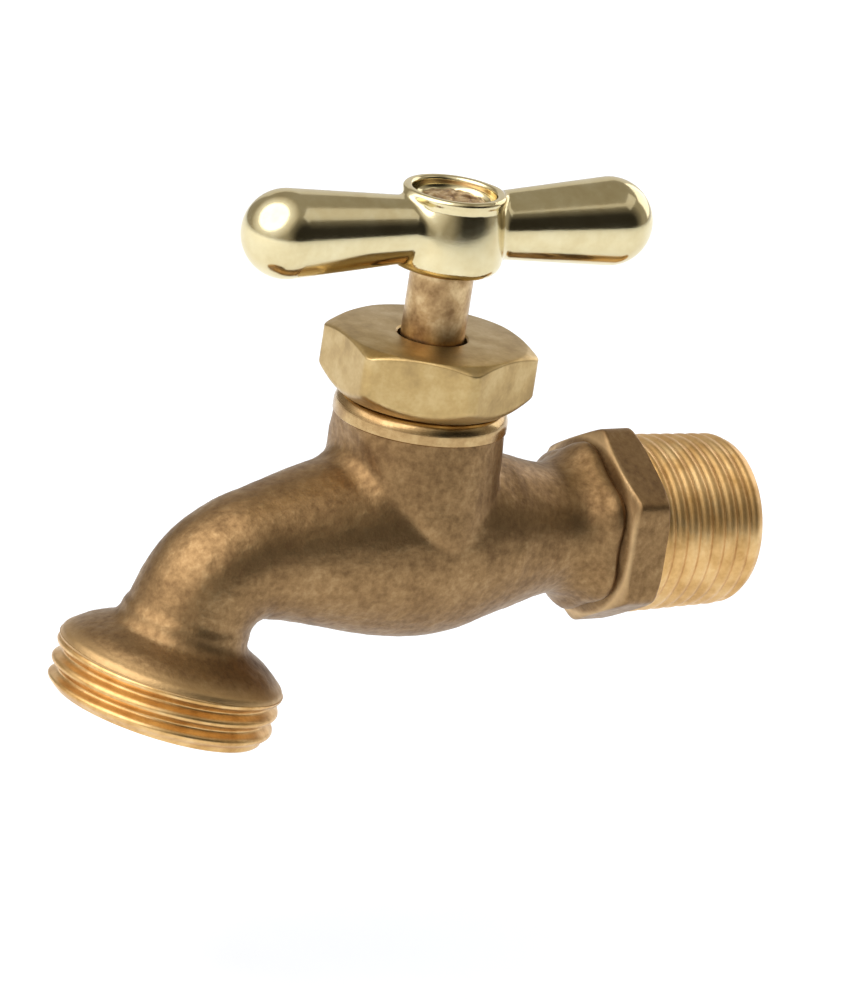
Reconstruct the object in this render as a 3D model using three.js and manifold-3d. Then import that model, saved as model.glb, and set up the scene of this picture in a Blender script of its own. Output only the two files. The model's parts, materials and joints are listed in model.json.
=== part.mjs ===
// A compact brass hose bib: a male pipe inlet, a cast body with its seat, a down-turned spout with a
// male hose thread, a rising stem with a soft seat washer, a packed gland and a tee handle.
//
// Millimetres, +Z up. Every piece is drawn in the valve frame: its origin is where the stem's axis
// crosses the inlet's axis, +Y points along the inlet to the wall, and the spout is at -Y. The group
// then moves that frame so that the part's own origin is the centre of the inlet's end face.
// The valve is drawn closed.
import * as THREE from "three";
import { mergeVertices } from "three/addons/utils/BufferGeometryUtils.js";
import Module from "manifold-3d";

const wasm = await Module();
wasm.setup();

// ---------------------------------------------------------------- driving dimensions

const GAP = 0.3; // left between pieces that touch
const TURN = 2 * Math.PI;

// Inlet: 1/2 inch taper pipe thread, 14 threads to the inch, with a wrench hexagon behind it.
const INLET_REACH = 44.7; // stem axis to end face
const INLET = { crestR: 10.67, depth: 1.2, pitch: 25.4 / 14, taper: 1 / 32, boreR: 7.2 };
const INLET_HEX = { start: 25.3, end: 30.3, cornerR: 12.25, roundR: 11.9 };

// Outlet: 3/4 inch hose thread, 11.5 threads to the inch, tilted forwards from straight down.
const OUTLET_FACE = new THREE.Vector3(0, -29.86, -20.1);
const OUTLET_TILT = THREE.MathUtils.degToRad(11.1);
const OUTLET = { crestR: 13.49, depth: 1.4, pitch: 25.4 / 11.5, mouthR: 9.3 };

// Neck: a cast boss with a machined collar, and above it the thread for the packing nut.
const NECK_R = 10.0;
const COLLAR = { r: 10.14, bottom: 14.4, top: 16.9 };
const NECK_TOP = 22.3;
const NECK_THREAD = { rootR: 8.45, crestR: 9.0, pitch: 1.27, rootWidth: 0.7, crestWidth: 0.2 };
const STUFFING_BOX = { r: 7.5, floor: 18.4 };

// Seat and water passages.
const SEAT = { orificeR: 4.7, lipR: 5.6, lipTop: 1.5, floor: 0.3 };
const CHAMBER = { r: 7.7, top: 7.0 };

// Stem: a two-and-a-half turn rising spindle with a coarse thread.
const STEM_R = 3.73;
const STEM_THREAD = { rootR: 6.45, crestR: 7.2, pitch: 2.54, rootWidth: 1.2, crestWidth: 0.7 };
const STEM_THREAD_START = 4; // where a turn of the stem's thread, and of the bore's, starts at +X
const STEM_BORE_R = 6.7; // crests of the bore's thread
const STEM_LIFT = 2.5 * STEM_THREAD.pitch;
const FOOT_R = 6.2;
const TANG = 4.9; // side of the square end that drives the handle

// Packing: a washer, two rings and the gland lie in the stuffing box under the nut's roof.
const PACKING = { innerR: 4.05, thickness: 0.8 };

// Packing nut, seven eighths of an inch across its flats. Its two ends are turned round.
const NUT = { bottom: 17.2, top: 24.7, cornerR: 12.67, skirtR: 9.95, crownR: 11.0, roof: 22.9, holeR: 4.4 };
const NUT_CORNER = THREE.MathUtils.degToRad(-6.4); // where tightening left the first corner

// Tee handle.
const HUB = { r: 6.5, bottom: 32.95, top: 42.4, edge: 1.3, counterbore: 1.2, recessR: 4.9, recessFloor: 40.6 };
const ARM = { height: 37.75, ballAt: 21.3, ballR: 5.2, waistAt: 5.5, waistR: 3.9 };
const ARM_LEAN = THREE.MathUtils.degToRad(1.4); // the spout-side arm hangs a little low
const HANDLE_ANGLE = THREE.MathUtils.degToRad(-2.4); // where the closed handle points

// Seat washer and its screw.
const WASHER = { r: 6.0, bottom: SEAT.lipTop + GAP, thickness: 3.0, holeR: 2.0 };
const SCREW = { shankR: 1.6, headR: 3.4, headHeight: 1.4, length: 9 };

// ---------------------------------------------------------------- shape helpers

const v3 = (x, y, z) => new THREE.Vector3(x, y, z);

/** A manifold solid from a closed three.js geometry. */
function solid(geometry) {
  const bare = geometry.clone();
  bare.deleteAttribute("normal");
  bare.deleteAttribute("uv");
  const merged = mergeVertices(bare, 1e-4);
  return new wasm.Manifold(
    new wasm.Mesh({
      numProp: 3,
      vertProperties: merged.attributes.position.array,
      triVerts: new Uint32Array(merged.index.array),
    }),
  );
}

/** A solid of revolution about +Z. The profile is a list of [radius, height], from the lower end up. */
function turned(profile, segments = 32) {
  const points = profile.map(([r, z]) => new THREE.Vector2(r, z));
  return solid(new THREE.LatheGeometry(points, segments).rotateX(Math.PI / 2));
}

/** A plain ring or disc about +Z. */
function ring(innerR, outerR, bottom, top, segments = 32) {
  const outline = [[innerR, bottom], [outerR, bottom], [outerR, top], [innerR, top]];
  return turned(innerR > 0 ? [...outline, outline[0]] : outline, segments);
}

/** A prism about +Z with its first corner at an angle from +X. */
function prism(sides, cornerR, cornerAngle, bottom, top) {
  const outline = new THREE.Shape();
  for (let i = 0; i < sides; i++) {
    const a = cornerAngle + (i * TURN) / sides;
    const corner = [cornerR * Math.cos(a), cornerR * Math.sin(a)];
    if (i === 0) outline.moveTo(...corner);
    else outline.lineTo(...corner);
  }
  const depth = top - bottom;
  const body = new THREE.ExtrudeGeometry(outline, { depth, bevelEnabled: false });
  return solid(body.translate(0, 0, bottom));
}

/** A closed solid through a row of convex rings, each turning right-handed about the way forward. */
function loft(rings) {
  const n = rings[0].length;
  const last = (rings.length - 1) * n;
  const index = [];
  for (let start = 0; start < last; start += n) {
    for (let j = 0; j < n; j++) {
      const a = start + j;
      const b = start + ((j + 1) % n);
      index.push(a, b, b + n, a, b + n, a + n);
    }
  }
  for (let j = 1; j + 1 < n; j++) {
    index.push(0, j + 1, j);
    index.push(last, last + j, last + j + 1);
  }
  const geometry = new THREE.BufferGeometry().setFromPoints(rings.flat());
  return solid(geometry.setIndex(index));
}

/** A passage or a wall in the plane of the spout: stations are [y, z, half width, half height]. */
function sweep(stations, steps, sides) {
  const path = new THREE.CatmullRomCurve3(stations.map(([y, z]) => v3(0, y, z)));
  const size = new THREE.CatmullRomCurve3(stations.map(([, , w, h]) => v3(w, h, 0)));
  const sideways = v3(1, 0, 0);
  const rings = [];
  for (let i = 0; i <= steps; i++) {
    const centre = path.getPoint(i / steps);
    const upright = path.getTangent(i / steps).cross(sideways);
    const { x: halfWidth, y: halfHeight } = size.getPoint(i / steps);
    const points = [];
    for (let j = 0; j < sides; j++) {
      const a = (j * TURN) / sides;
      const point = centre.clone().addScaledVector(sideways, halfWidth * Math.cos(a));
      points.push(point.addScaledVector(upright, halfHeight * Math.sin(a)));
    }
    rings.push(points);
  }
  return loft(rings);
}

/**
 * A rod with a right-hand thread about +Z. Each column of points follows the profile up the rod, and
 * each is a step further round and up than the last, so that the edges of the thread are true helices.
 */
function threadedRod({ rootR, crestR, pitch, rootWidth, crestWidth, taper = 0 }, from, to, segments) {
  const profile = [
    [-rootWidth / 2, rootR],
    [-crestWidth / 2, crestR],
    [crestWidth / 2, crestR],
    [rootWidth / 2, rootR],
  ];
  const perTurn = profile.length;
  const rows = perTurn * (Math.ceil((to - from) / pitch) + 2);
  const points = [v3(0, 0, from - 2 * pitch), v3(0, 0, to + 4 * pitch)];
  for (let column = 0; column <= segments; column++) {
    const a = (column * TURN) / segments;
    for (let row = 0; row < rows; row++) {
      const [dz, r] = profile[row % perTurn];
      const rise = (Math.floor(row / perTurn) - 1 + column / segments) * pitch + dz;
      const radius = r - taper * rise;
      points.push(v3(radius * Math.cos(a), radius * Math.sin(a), from + rise));
    }
  }
  const [foot, head] = [0, 1];
  const at = (column, row) => 2 + column * rows + row;
  const index = [];
  for (let column = 0; column < segments; column++) {
    for (let row = 0; row + 1 < rows; row++) {
      const [a, b] = [at(column, row), at(column + 1, row)];
      index.push(a, b, b + 1, a, b + 1, a + 1);
    }
    index.push(foot, at(column + 1, 0), at(column, 0));
    index.push(head, at(column, rows - 1), at(column + 1, rows - 1));
  }
  for (let row = 0; row < perTurn; row++) {
    index.push(foot, at(0, row), at(0, row + 1));
    index.push(head, at(segments, rows - row - 1), at(segments, rows - row - 2));
  }
  return solid(new THREE.BufferGeometry().setFromPoints(points).setIndex(index));
}

/** The hole's thread that a rod's thread runs in: its own bore, and every flank moved out. */
function matingThread(thread, boreR, clearance) {
  const { rootR, crestR, rootWidth, crestWidth } = thread;
  const grooveR = crestR + clearance;
  const widthAt = (r) =>
    rootWidth - ((r - rootR) / (crestR - rootR)) * (rootWidth - crestWidth) + 2 * clearance;
  return {
    ...thread,
    rootR: boreR,
    crestR: grooveR,
    rootWidth: widthAt(boreR),
    crestWidth: widthAt(grooveR),
  };
}

const union = (...solids) => solids.reduce((a, b) => a.add(b));
const alongInlet = (piece) => piece.rotate([-90, 0, 0]); // +Z becomes +Y

/** Stands a piece drawn about +Z, with its base at zero, on the outlet's end face. */
function atOutlet(piece) {
  const { y, z } = OUTLET_FACE;
  return piece.rotate([-THREE.MathUtils.radToDeg(OUTLET_TILT), 0, 0]).translate([0, y, z]);
}

/** A point on the outlet's axis, at a height above its end face, as [y, z]. */
function onOutletAxis(height) {
  const y = OUTLET_FACE.y + height * Math.sin(OUTLET_TILT);
  return [y, OUTLET_FACE.z + height * Math.cos(OUTLET_TILT)];
}

// ---------------------------------------------------------------- valve body, outside

/** The cast run from the wrench hexagon through the belly and round the bend to the outlet. */
function castRun() {
  const stations = [
    [25.0, 0, 10.2, 10.2],
    [22.4, 0, 8.75, 8.75],
    [19.4, 0, 7.75, 7.75],
    [15.2, 0, 8.6, 8.6],
    [10.4, 0, 9.7, 9.9],
    [5.4, -0.1, 10.2, 11.4],
    [0, -0.2, 10.35, 11.7],
    [-6.0, -0.3, 10.1, 10.9],
    [-12.3, -0.5, 9.3, 9.5],
    [-18.1, -1.0, 8.06, 8.06],
    [-21.9, -1.9, 7.45, 7.45],
    [-25.3, -4.3, 7.28, 7.28],
    [...onOutletAxis(11.5), 7.2, 7.2],
    [...onOutletAxis(7.0), 7.4, 7.4],
  ];
  return sweep(stations, 28, 32);
}

function neck() {
  return turned([
    [0, 0],
    [NECK_R, 0],
    [NECK_R, COLLAR.bottom],
    [COLLAR.r, COLLAR.bottom],
    [COLLAR.r, COLLAR.top - 0.3],
    [COLLAR.r - 0.3, COLLAR.top],
    [0, COLLAR.top],
  ]);
}

function neckThread() {
  const { rootR, crestR } = NECK_THREAD;
  const rod = threadedRod(NECK_THREAD, COLLAR.top, NECK_TOP, 24);
  const room = [
    [0, COLLAR.top - 1],
    [rootR - 0.1, COLLAR.top - 1],
    [rootR - 0.1, COLLAR.top + 0.3],
    [crestR + 0.1, COLLAR.top + 1],
    [crestR + 0.1, NECK_TOP - 0.7],
    [rootR - 0.1, NECK_TOP],
    [0, NECK_TOP],
  ];
  return rod.intersect(turned(room));
}

/** The wrench hexagon, its corners turned round and its inner end face turned slightly conical. */
function inletHexagon() {
  const { start, end, cornerR, roundR } = INLET_HEX;
  const hexagon = prism(6, cornerR, TURN / 12, start - 1.5, end);
  const rounding = turned([
    [0, start - 1.5],
    [9.6, start - 1.2],
    [11.2, start],
    [roundR, start + 0.6],
    [roundR, end],
    [0, end],
  ]);
  return alongInlet(hexagon.intersect(rounding));
}

function inletThread() {
  const { crestR, depth, pitch, taper } = INLET;
  const length = INLET_REACH - INLET_HEX.end;
  const rootR = crestR - depth;
  const thread = { rootR, crestR, pitch, taper, rootWidth: pitch - 0.3, crestWidth: 0.35 };
  const clear = crestR + 0.1; // so that only the two ends are cut
  const room = turned([
    [0, -0.5],
    [clear, -0.5],
    [clear - taper * length, length - 1.4],
    [rootR - taper * length - 0.2, length],
    [0, length],
  ]);
  const rod = threadedRod(thread, 0, length, 32).intersect(room);
  return alongInlet(rod.translate([0, 0, INLET_HEX.end]));
}

/** The round flange over the outlet and the hose thread below it. */
function outletEnd() {
  const { crestR, depth, pitch } = OUTLET;
  const rootR = crestR - depth;
  const flange = turned([
    [0, 6.0],
    [13.2, 6.0],
    [13.1, 6.4],
    [12.6, 7.0],
    [11.4, 7.9],
    [9.6, 8.9],
    [7.9, 9.9],
    [7.1, 11.0],
    [0, 11.0],
  ]);
  const thread = { rootR, crestR, pitch, rootWidth: pitch - 0.5, crestWidth: 0.6 };
  const room = turned([
    [0, 0],
    [rootR - 0.5, 0],
    [crestR + 0.1, 1.3],
    [crestR + 0.1, 6.5],
    [0, 6.5],
  ]);
  const rod = threadedRod(thread, 0, 6.5, 32).intersect(room);
  return atOutlet(union(flange, rod));
}

// ---------------------------------------------------------------- valve body, inside

/** From the pipe to the dead end in front of the chamber's wall. */
function inletBore() {
  const waistBoreR = 5.6;
  return alongInlet(
    turned([
      [0, 10.3],
      [3.6, 11.2],
      [waistBoreR, 14],
      [waistBoreR, 24],
      [INLET.boreR, 31],
      [INLET.boreR, INLET_REACH - 0.6],
      [INLET.boreR + 0.7, INLET_REACH + 0.1],
      [0, INLET_REACH + 0.1],
    ], 24),
  );
}

/** The water's way down under the seat. */
function lowerPassage() {
  const stations = [
    [17.0, 0, 4.8, 4.8],
    [12.0, -2.6, 5.4, 4.2],
    [7.4, -5.3, 6.0, 3.5],
    [2.0, -6.4, 6.2, 3.2],
    [-4.6, -6.4, 5.4, 3.0],
  ];
  return sweep(stations, 8, 16);
}

/** The orifice, the raised lip round it, the chamber above it and the bore up the neck. */
function chamber() {
  const { orificeR, lipR, lipTop, floor } = SEAT;
  const above = turned([
    [0, lipTop],
    [lipR, lipTop],
    [lipR + 0.3, floor],
    [CHAMBER.r - 0.5, floor],
    [CHAMBER.r, floor + 0.6],
    [CHAMBER.r, CHAMBER.top - 1],
    [STEM_BORE_R - 0.3, CHAMBER.top],
    [STEM_BORE_R - 0.3, STUFFING_BOX.floor],
    [STUFFING_BOX.r, STUFFING_BOX.floor],
    [STUFFING_BOX.r, NECK_TOP + 0.5],
    [0, NECK_TOP + 0.5],
  ]);
  return union(above, ring(0, orificeR, -6, lipTop + 1, 24));
}

/** The threaded bore that the stem runs in. */
function stemBore() {
  const thread = matingThread(STEM_THREAD, STEM_BORE_R, 0.22);
  const [bottom, top] = [CHAMBER.top - 0.9, STUFFING_BOX.floor + 0.1];
  return threadedRod(thread, STEM_THREAD_START, top, 24).intersect(ring(0, 8, bottom, top));
}

/** From the chamber over the partition and round the bend to the outlet's mouth. */
function spoutPassage() {
  const stations = [
    [-3.0, 3.9, 4.2, 4.0],
    [-8.0, 2.2, 4.8, 4.6],
    [-13.0, 0.5, 5.3, 5.2],
    [-18.1, -1.0, 5.4, 5.4],
    [-21.9, -1.9, 5.3, 5.3],
    [-25.3, -4.3, 5.2, 5.2],
    [...onOutletAxis(11.5), 5.2, 5.2],
    [...onOutletAxis(7.5), 5.3, 5.3],
  ];
  const { mouthR } = OUTLET;
  const mouth = turned([
    [0, -0.5],
    [mouthR + 0.6, -0.5],
    [mouthR, 0.4],
    [mouthR, 4.5],
    [5.3, 9.3],
    [0, 9.3],
  ], 24);
  return union(sweep(stations, 16, 16), atOutlet(mouth));
}

function valveBody() {
  const outside = union(castRun(), neck(), neckThread(), inletHexagon(), inletThread(), outletEnd());
  const inside = union(inletBore(), lowerPassage(), chamber(), stemBore(), spoutPassage());
  return outside.subtract(inside);
}

// ---------------------------------------------------------------- gland

function packingNut() {
  const { bottom, top, cornerR, skirtR, crownR, roof, holeR } = NUT;
  const hexagon = prism(6, cornerR, NUT_CORNER, bottom, top);
  const turning = turned([
    [0, bottom],
    [skirtR, bottom],
    [cornerR, bottom + 0.75 * (cornerR - skirtR)],
    [cornerR, top - 0.5 * (cornerR - crownR)],
    [crownR, top],
    [0, top],
  ], 36);
  const thread = matingThread(NECK_THREAD, NECK_THREAD.rootR + 0.28, 0.22);
  const bore = threadedRod(thread, COLLAR.top, roof, 24).intersect(ring(0, 12, bottom - 1, roof));
  const hollow = bore.add(ring(0, holeR, bottom, top + 1, 24));
  return hexagon.intersect(turning).subtract(hollow);
}

/** One of the flat rings in the stuffing box, counted from the floor up. */
function packingRing(place) {
  const { innerR, thickness } = PACKING;
  const bottom = STUFFING_BOX.floor + GAP + place * (thickness + GAP);
  return ring(innerR, STUFFING_BOX.r - GAP, bottom, bottom + thickness, 24);
}

// ---------------------------------------------------------------- stem and seat washer

function stem() {
  const footBottom = WASHER.bottom + WASHER.thickness + GAP;
  const threadBottom = footBottom + 1.5;
  const threadTop = threadBottom + 4.3;
  const shoulderTop = STUFFING_BOX.floor - STEM_LIFT;
  const hubSocket = HUB.bottom + HUB.counterbore;
  const peenBottom = HUB.recessFloor + GAP;
  const shaft = turned([
    [0, footBottom],
    [FOOT_R, footBottom],
    [FOOT_R, threadBottom - 0.4],
    [5.9, threadBottom],
    [5.2, threadTop],
    [5.2, shoulderTop - 0.4],
    [4.8, shoulderTop],
    [STEM_R, shoulderTop],
    [STEM_R, hubSocket],
    [0, hubSocket],
  ], 24);
  const rod = threadedRod(STEM_THREAD, STEM_THREAD_START, threadTop, 24);
  const thread = rod.intersect(ring(0, 8, threadBottom - 0.2, threadTop));
  const tang = prism(4, TANG / Math.SQRT2, HANDLE_ANGLE + TURN / 8, hubSocket - 1, peenBottom + 0.5);
  const peenedEnd = turned([
    [0, peenBottom],
    [3.7, peenBottom],
    [4.1, peenBottom + 0.3],
    [3.4, peenBottom + 0.7],
    [1.6, peenBottom + 0.9],
    [0, peenBottom + 0.9],
  ], 20);
  const screwHole = ring(0, SCREW.shankR + GAP, footBottom - 1, WASHER.bottom + SCREW.length, 16);
  return union(shaft, thread, tang, peenedEnd).subtract(screwHole);
}

function seatWasher() {
  const { r, bottom, thickness, holeR } = WASHER;
  const top = bottom + thickness;
  const edge = 0.3;
  return turned([
    [holeR, bottom],
    [r - edge, bottom],
    [r, bottom + edge],
    [r, top - edge],
    [r - edge, top],
    [holeR, top],
    [holeR, bottom],
  ], 24);
}

/** A round-head slotted screw, head down. */
function washerScrew() {
  const { shankR, headR, headHeight, length } = SCREW;
  const underHead = WASHER.bottom - GAP;
  const body = turned([
    [0, underHead - headHeight],
    [headR - 1.2, underHead - headHeight],
    [headR - 0.3, underHead - 0.8],
    [headR, underHead],
    [shankR, underHead],
    [shankR, WASHER.bottom + length - 1.2],
    [shankR - 0.5, WASHER.bottom + length - 0.5],
    [0, WASHER.bottom + length - 0.5],
  ], 20);
  const slotDepth = 0.7;
  const slot = new THREE.BoxGeometry(2 * headR + 1, 0.8, 2 * slotDepth);
  return body.subtract(solid(slot.translate(0, 0, underHead - headHeight)));
}

// ---------------------------------------------------------------- handle

/** The hub, its top recess and its square socket. */
function hub() {
  const { r, bottom, top, edge, counterbore, recessR, recessFloor } = HUB;
  const outline = new THREE.Path();
  outline.moveTo(0, bottom);
  outline.lineTo(r - edge, bottom);
  outline.absarc(r - edge, bottom + edge, edge, -Math.PI / 2, 0, false);
  outline.absarc(r - edge, top - edge, edge, 0, Math.PI / 2, false);
  outline.lineTo(0, top);
  const body = turned(outline.getPoints(2).map((p) => [p.x, p.y]), 28);
  const room = union(
    ring(0, recessR, recessFloor, top + 1, 24),
    ring(0, STEM_R + GAP, bottom - 1, bottom + counterbore + GAP, 24),
    prism(4, (TANG + 2 * GAP) / Math.SQRT2, TURN / 8, bottom, top),
  );
  return { body, room };
}

/** Both arms as one turned bar, narrow at the hub and ending in round knobs. */
function arms() {
  const { height, ballAt, ballR, waistAt, waistR } = ARM;
  const lean = Math.asin((ballR - waistR) / (ballAt - waistAt));
  const outline = new THREE.Path();
  outline.absarc(0, -ballAt, ballR, -Math.PI / 2, lean, false);
  outline.lineTo(waistR, -waistAt);
  outline.lineTo(waistR, waistAt);
  outline.absarc(0, ballAt, ballR, -lean, Math.PI / 2, false);
  const bar = turned(outline.getPoints(4).map((p) => [Math.max(p.x, 0), p.y]), 24);
  const droop = THREE.MathUtils.radToDeg(ARM_LEAN);
  return alongInlet(bar).rotate([droop, 0, 0]).translate([0, 0, height]);
}

function teeHandle() {
  const { body, room } = hub();
  const angle = THREE.MathUtils.radToDeg(HANDLE_ANGLE);
  return union(body, arms()).subtract(room).rotate([0, 0, angle]);
}

// ---------------------------------------------------------------- assembly

const metal = (color, roughness) =>
  new THREE.MeshStandardMaterial({ color, roughness, metalness: 1 });
const CAST_BRASS = metal(0x8c6e4b, 0.6);
const MACHINED_BRASS = metal(0xc9a260, 0.35);
const POLISHED_BRASS = metal(0xd9c68a, 0.12);
const GRAPHITE = new THREE.MeshStandardMaterial({ color: 0x2b2b2c, roughness: 0.8, metalness: 0 });
const BLACK_RUBBER = new THREE.MeshStandardMaterial({ color: 0x1a1a1a, roughness: 0.7, metalness: 0 });

function mesh(name, piece, material) {
  const { numProp, vertProperties, triVerts } = piece.getMesh();
  const geometry = new THREE.BufferGeometry();
  geometry.setAttribute("position", new THREE.BufferAttribute(vertProperties, numProp));
  geometry.setIndex(new THREE.BufferAttribute(triVerts, 1));
  geometry.computeVertexNormals();
  const made = new THREE.Mesh(geometry, material);
  made.name = name;
  return made;
}

const hoseBib = new THREE.Group();
hoseBib.add(
  mesh("valve_body", valveBody(), CAST_BRASS),
  mesh("packing_washer", packingRing(0), MACHINED_BRASS),
  mesh("packing_ring_lower", packingRing(1), GRAPHITE),
  mesh("packing_ring_upper", packingRing(2), GRAPHITE),
  mesh("packing_gland", packingRing(3), MACHINED_BRASS),
  mesh("packing_nut", packingNut(), MACHINED_BRASS),
  mesh("stem", stem(), MACHINED_BRASS),
  mesh("seat_washer", seatWasher(), BLACK_RUBBER),
  mesh("washer_screw", washerScrew(), MACHINED_BRASS),
  mesh("tee_handle", teeHandle(), POLISHED_BRASS),
);
hoseBib.position.y = -INLET_REACH;

export default hoseBib;
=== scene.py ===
"""The looks of a brass hose bib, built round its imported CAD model.

Shapes are worked out in the valve's own millimetres: the origin is where the stem's axis crosses
the inlet's, +Y runs to the wall and +Z up the stem. new_piece() turns them into the frame's metres.
"""

import json
import math

import bmesh
import bpy
import numpy as np
from mathutils import Matrix, Vector, noise


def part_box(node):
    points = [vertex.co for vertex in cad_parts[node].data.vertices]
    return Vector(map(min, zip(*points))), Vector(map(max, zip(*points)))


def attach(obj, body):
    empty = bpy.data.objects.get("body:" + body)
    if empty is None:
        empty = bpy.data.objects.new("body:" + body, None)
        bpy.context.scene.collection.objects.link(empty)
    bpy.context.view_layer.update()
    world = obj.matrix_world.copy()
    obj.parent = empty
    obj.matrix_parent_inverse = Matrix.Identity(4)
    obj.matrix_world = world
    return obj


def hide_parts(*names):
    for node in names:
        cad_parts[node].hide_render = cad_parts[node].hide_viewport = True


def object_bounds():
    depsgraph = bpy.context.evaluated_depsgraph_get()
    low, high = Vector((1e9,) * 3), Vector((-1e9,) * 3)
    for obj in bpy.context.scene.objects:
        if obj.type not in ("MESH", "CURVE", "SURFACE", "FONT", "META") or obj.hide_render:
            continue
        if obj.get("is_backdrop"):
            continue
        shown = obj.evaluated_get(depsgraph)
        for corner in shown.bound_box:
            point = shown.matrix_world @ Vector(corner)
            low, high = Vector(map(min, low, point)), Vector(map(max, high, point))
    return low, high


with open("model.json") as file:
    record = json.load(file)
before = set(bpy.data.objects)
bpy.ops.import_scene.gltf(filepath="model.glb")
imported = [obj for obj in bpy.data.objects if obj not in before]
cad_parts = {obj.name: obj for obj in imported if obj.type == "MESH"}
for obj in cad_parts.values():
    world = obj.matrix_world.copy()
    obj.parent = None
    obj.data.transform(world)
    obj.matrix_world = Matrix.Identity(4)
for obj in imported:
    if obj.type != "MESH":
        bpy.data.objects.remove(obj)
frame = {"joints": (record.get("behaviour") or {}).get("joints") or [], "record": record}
cad_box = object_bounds()

# ---------------------------------------------------------------- what the frame says

MM = 0.001
JOINTS = {joint["name"]: joint for joint in frame["joints"]}
MOUNTS = {mount["name"]: mount for mount in frame["record"]["mounts"]}
STEM_Y = JOINTS["handle_turn"]["pos_m"][1] / MM
OUTLET_FACE = MOUNTS["hose_outlet_face"]
OUTLET_AXIS = np.array(OUTLET_FACE["axis"], float)
OUTLET_POINT = np.array([0, OUTLET_FACE["pos_m"][1] / MM - STEM_Y, OUTLET_FACE["pos_m"][2] / MM])
INLET_REACH = -STEM_Y
OUTLET_TILT = math.asin(-OUTLET_AXIS[1])

# ---------------------------------------------------------------- sizes, in millimetres

INLET_CREST_R = 10.67
INLET_THREAD_DEPTH = 0.38
INLET_PITCH = 25.4 / 14
INLET_TAPER = 1 / 32
INLET_BORE_R = 7.2
HEX_START, HEX_END = 25.3, 30.3
HEX_APOTHEM = 10.6
HEX_ROUND_R = 12.2
HEX_CONE_R = 10.5

HOSE_CREST_R = 13.55
HOSE_THREAD_DEPTH = 1.15
HOSE_THREAD_START = math.radians(305)
HOSE_PITCH = 25.4 / 11.5
HOSE_MOUTH_R = 9.3
SHOULDER_AT = 6.0

NECK_R, NECK_DRAFT, NECK_FOOT = 10.0, 0.055, 2.0
COLLAR_R, COLLAR_BOTTOM, COLLAR_TOP = 10.2, 14.4, 16.9
NECK_TOP = 22.3
NECK_CREST_R, NECK_THREAD_DEPTH, NECK_PITCH = 9.0, 0.55, 1.27
STUFFING_BOX_R, STUFFING_BOX_FLOOR = 7.5, 18.4
SEAT_ORIFICE_R, SEAT_LIP_R, SEAT_LIP_TOP, SEAT_FLOOR = 4.7, 5.6, 1.5, 0.3
CHAMBER_R, CHAMBER_TOP = 7.7, 7.0
STEM_BORE_R = 6.7

NUT_BOTTOM, NUT_TOP = 17.2, 24.7
NUT_APOTHEM, NUT_SKIRT_R, NUT_CROWN_R = 10.98, 9.95, 11.0
NUT_ROOF, NUT_HOLE_R = 22.9, 4.1
NUT_TURN = math.radians(-6.4)

STEM_R = 3.73
STEM_FOOT_R, STEM_FOOT_BOTTOM, STEM_FOOT_TOP = 6.2, 5.1, 6.6
STEM_CREST_R, STEM_THREAD_DEPTH, STEM_PITCH = 7.2, 0.75, 2.54
TANG_SIDE, TANG_BOTTOM, TANG_TOP = 4.9, 34.15, 40.9
PEEN_R, PEEN_TOP = 4.1, 41.75

HUB_R, HUB_BOTTOM, HUB_TOP = 6.6, 32.95, 42.4
HUB_LIP_R, HUB_RECESS_R, HUB_RECESS_FLOOR = 6.05, 4.9, 40.6
ARM_HEIGHT, ARM_BALL_AT, ARM_BALL_R, ARM_ROOT_R = 37.75, 21.3, 5.22, 3.4
ARM_LEAN = math.radians(1.4)
HANDLE_TURN = math.radians(-2.4)

RING_BOTTOM, RING_STEP, RING_THICKNESS = 18.7, 1.1, 0.8
RING_INNER_R, RING_OUTER_R = 4.05, 7.2

WASHER_R, WASHER_BOTTOM, WASHER_THICKNESS, WASHER_HOLE_R = 6.0, 1.8, 3.0, 2.0
SCREW_R, SCREW_HEAD_R, SCREW_HEAD_HEIGHT = 1.6, 3.4, 1.4

# ---------------------------------------------------------------- small mathematics


def smooth_min(a, b, blend):
    """The smaller of a and b, rounded over where they differ by less than blend."""
    share = np.maximum(blend - np.abs(a - b), 0) / blend
    return np.minimum(a, b) - share * share * blend / 4


def smooth_max(a, b, blend):
    """The larger of a and b, filled in where they differ by less than blend."""
    return -smooth_min(-a, -b, blend)


def smooth_step(low, high, value):
    """From 0 below low to 1 above high, without a corner."""
    t = np.clip((value - low) / (high - low), 0, 1)
    return t * t * (3 - 2 * t)


def arc(centre, radius, start, end, count):
    """Points of an arc in a profile, with its angles in degrees."""
    turns = np.radians(np.linspace(start, end, count))
    return [(centre[0] + radius * math.cos(t), centre[1] + radius * math.sin(t)) for t in turns]


def hexagon_radius(turn, apothem, rounding):
    """Distance from the middle to a hexagon's outline in direction turn, with soft corners."""
    beside = np.mod(turn, math.pi / 3)
    here = apothem / np.cos(beside - math.pi / 6)
    across = np.where(beside < math.pi / 6, beside + math.pi / 6, beside - math.pi / 2)
    return smooth_min(here, apothem / np.cos(across), rounding)


# Each frame turns a shape made round +Z into its place on the valve.
UPRIGHT = Matrix.Identity(4)
ALONG_INLET = Matrix.Rotation(-math.pi / 2, 4, "X")
AT_OUTLET = Matrix.Translation(Vector(OUTLET_POINT)) @ Matrix.Rotation(-OUTLET_TILT, 4, "X")


def moved(points, matrix):
    """The points turned and shifted by a matrix."""
    turn = np.array(matrix)[:3, :3]
    shift = np.array(matrix)[:3, 3]
    return np.asarray(points, float) @ turn.T + shift


# ---------------------------------------------------------------- meshes


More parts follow.
